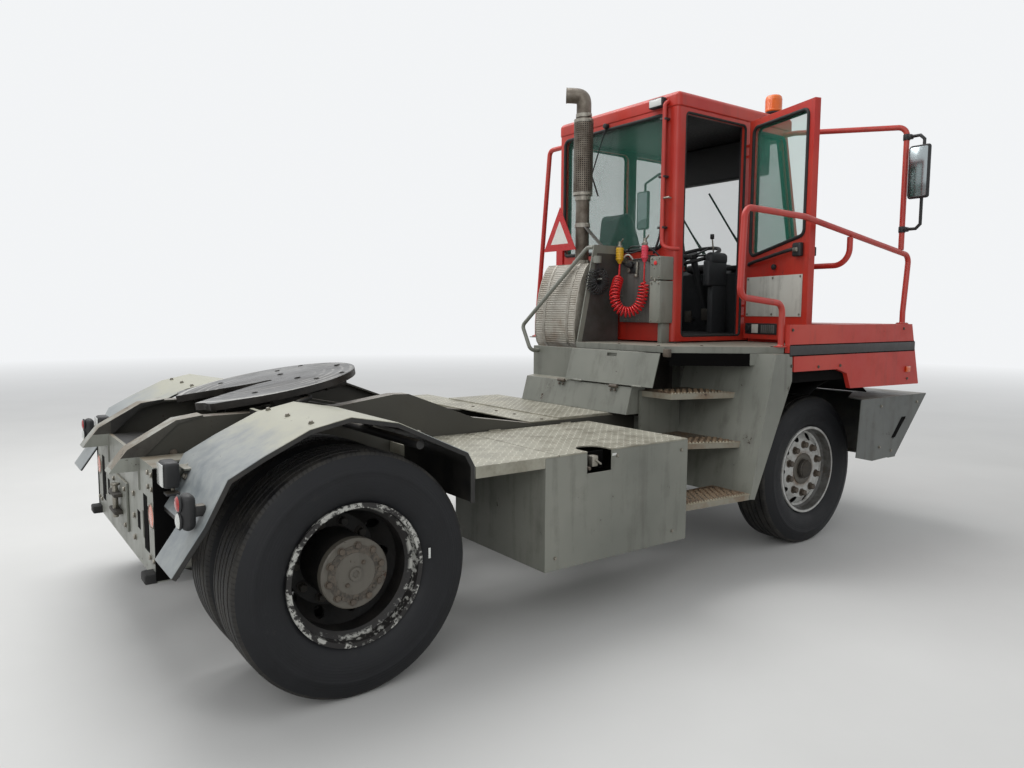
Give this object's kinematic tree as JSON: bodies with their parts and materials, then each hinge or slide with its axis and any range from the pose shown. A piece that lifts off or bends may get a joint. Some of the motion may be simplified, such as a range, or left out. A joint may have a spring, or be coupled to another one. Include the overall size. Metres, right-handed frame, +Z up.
{
  "type": "terminal tractor",
  "caption": "Yard tractor with an offset cab, swung-open door, right side steps, twin rear wheels and a lifting fifth-wheel coupling plate on a boom between the frame rails",
  "frame": {"origin": "on the ground below the middle of the whole tractor's box", "axes": "+X forward, +Y to the tractor's left, +Z up"},
  "size_m": [5.362, 2.77, 3.235],
  "materials": {
    "red_paint": "faded gloss",
    "grey_paint": "worn satin",
    "olive_paint": "worn satin",
    "black_paint": "satin",
    "deck_metal": "worn",
    "tread_metal": "rusty",
    "bare_steel": "worn",
    "greased_steel": "greasy",
    "tyre": "worn",
    "rim_silver": "worn",
    "rim_black": "worn",
    "cast": "rough",
    "glass": "tinted",
    "clear_glass": "clear",
    "black_plastic": "matt",
    "seat_cloth": "woven",
    "silencer_sheet": "worn",
    "stack_steel": "heat stained",
    "sign": "reflective",
    "amber": "clear",
    "lamp": "clear",
    "red_hose": "gloss",
    "black_cable": "satin"
  },
  "bodies": {
    "chassis": {"chassis_frame": "olive_paint", "rear_crossmember": "grey_paint", "front_axle": "cast", "rear_axle": "cast", "propeller_shaft": "cast", "engine_block": "cast", "mudguard_left": "grey_paint", "mudguard_right": "grey_paint", "side_box_right": "grey_paint", "fuel_tank_left": "grey_paint", "deck_plates": "deck_metal", "steps_right": "grey_paint", "deck_housing": "grey_paint", "upper_deck": "grey_paint", "front_body_right": "red_paint", "front_body_left": "red_paint", "front_grille": "red_paint", "front_bumper": "grey_paint", "cab_shell": "red_paint", "cab_roof": "red_paint", "cab_windows": "glass", "seat_base": "black_plastic", "seat_cushion": "seat_cloth", "seat_back": "seat_cloth", "dashboard": "black_plastic", "silencer": "silencer_sheet", "exhaust_stack": "stack_steel", "silencer_bracket": "grey_paint", "marker_triangle": "sign", "service_panel": "grey_paint", "air_hose": "red_hose", "electric_cable": "black_cable", "handrail_right": "red_paint", "handrail_left": "red_paint", "mirrors": "black_plastic", "beacon": "amber", "lamps": "lamp"},
    "steering_column_wheel": {"steering_wheel": "black_plastic"},
    "left_knuckle": {"knuckle_left": "cast"},
    "right_knuckle": {"knuckle_right": "cast"},
    "front_wheel_left": {"front_rim_left": "rim_silver", "front_tyre_left": "tyre"},
    "front_wheel_right": {"front_rim_right": "rim_silver", "front_tyre_right": "tyre"},
    "rear_wheels_left": {"rear_rims_left": "rim_black", "rear_tyres_left": "tyre"},
    "rear_wheels_right": {"rear_rims_right": "rim_black", "rear_tyres_right": "tyre"},
    "boom": {"lift_boom": "olive_paint"},
    "coupling": {"coupling_plate": "greased_steel"},
    "cylinder_barrels": {"lift_cylinder_barrels": "black_paint"},
    "cylinder_rods": {"lift_cylinder_rods": "bare_steel"},
    "box_lid": {"side_box_lid": "deck_metal"},
    "flap": {"deck_flap": "grey_paint"},
    "cab_door": {"door": "red_paint", "door_window": "clear_glass"}
  },
  "joints": [
    {"name": "steer_left", "type": "hinge", "parent": "chassis", "child": "left_knuckle", "pos_m": [1.544, 0.7, 0.51], "axis": [0, 0, 1], "range_deg": [-30, 30]},
    {"name": "steer_right", "type": "hinge", "parent": "chassis", "child": "right_knuckle", "pos_m": [1.544, -0.7, 0.51], "axis": [0, 0, 1], "range_deg": [-30, 30]},
    {"name": "front_spin_left", "type": "hinge", "parent": "left_knuckle", "child": "front_wheel_left", "pos_m": [1.544, 0.905, 0.51], "axis": [0, 1, 0], "continuous": true},
    {"name": "front_spin_right", "type": "hinge", "parent": "right_knuckle", "child": "front_wheel_right", "pos_m": [1.544, -0.905, 0.51], "axis": [0, 1, 0], "continuous": true},
    {"name": "rear_spin_left", "type": "hinge", "parent": "chassis", "child": "rear_wheels_left", "pos_m": [-1.906, 0.9325, 0.51], "axis": [0, 1, 0], "continuous": true},
    {"name": "rear_spin_right", "type": "hinge", "parent": "chassis", "child": "rear_wheels_right", "pos_m": [-1.906, -0.9325, 0.51], "axis": [0, 1, 0], "continuous": true},
    {"name": "boom_lift", "type": "hinge", "parent": "chassis", "child": "boom", "pos_m": [-0.531, 0, 0.8], "axis": [0, 1, 0], "range_deg": [0, 24]},
    {"name": "coupling_tilt", "type": "hinge", "parent": "boom", "child": "coupling", "pos_m": [-1.831, 0, 1.085], "axis": [0, 1, 0], "range_deg": [0, 18]},
    {"name": "cylinder_swing", "type": "hinge", "parent": "chassis", "child": "cylinder_barrels", "pos_m": [-1.031, 0, 0.505], "axis": [0, 1, 0], "range_deg": [0, 23.16]},
    {"name": "rod_extend", "type": "slide", "parent": "cylinder_barrels", "child": "cylinder_rods", "axis": [-0.6402, 0, 0.7682], "range_m": [0, 0.24121]},
    {"name": "lid_open", "type": "hinge", "parent": "chassis", "child": "box_lid", "pos_m": [-0.421, -0.442, 0.9], "axis": [-1, 0, 0], "range_deg": [0, 95]},
    {"name": "flap_open", "type": "hinge", "parent": "chassis", "child": "flap", "pos_m": [0.249, -0.36, 1.122], "axis": [0, -1, 0], "range_deg": [0, 100]},
    {"name": "door_swing", "type": "hinge", "parent": "chassis", "child": "cab_door", "pos_m": [1.547, -0.458, 2.175], "axis": [0, 0, 1], "range_deg": [-72, 20]},
    {"name": "steering_turn", "type": "hinge", "parent": "chassis", "child": "steering_column_wheel", "pos_m": [1.794, 0.26, 2.035], "axis": [-0.3424, 0, 0.9395], "range_deg": [-540, 540]}
  ],
  "couplings": [
    {"joint": "steer_right", "follows": "steer_left", "ratio": 1},
    {"joint": "cylinder_swing", "follows": "boom_lift", "ratio": 0.9651},
    {"joint": "rod_extend", "follows": "boom_lift", "m_per_rad": 0.57585}
  ]
}
